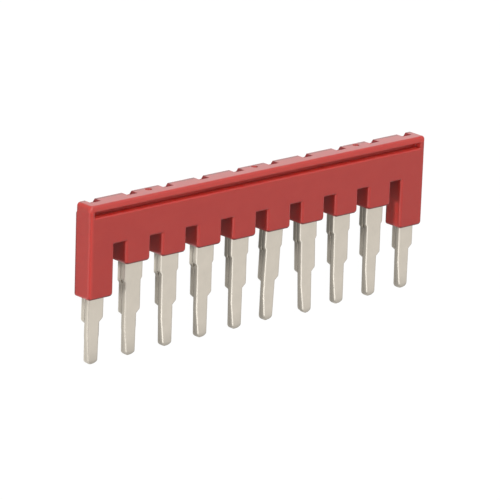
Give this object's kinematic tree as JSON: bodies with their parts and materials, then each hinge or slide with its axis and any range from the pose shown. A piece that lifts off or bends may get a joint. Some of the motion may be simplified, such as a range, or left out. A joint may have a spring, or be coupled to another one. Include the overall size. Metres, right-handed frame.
{
  "type": "terminal block jumper",
  "caption": "Plug-in jumper comb that links neighbouring terminal blocks: plated metal fingers in a red insulating housing.",
  "frame": {"origin": "middle of the overall length and height, on the rear face that the part lies on", "axes": "+X along the row of poles to the right seen from the front, +Y away from the finger tips towards the top lip, +Z out of the front face"},
  "size_m": [0.06, 0.0224, 0.003],
  "materials": {
    "housing_plastic": "moulded polyamide, satin, fine mould texture",
    "plated_metal": "tin-plated copper alloy strip, satin, stamped edges"
  },
  "bodies": {
    "root": {"housing": "housing_plastic", "front_comb": "plated_metal", "rear_comb": "plated_metal"}
  },
  "joints": []
}
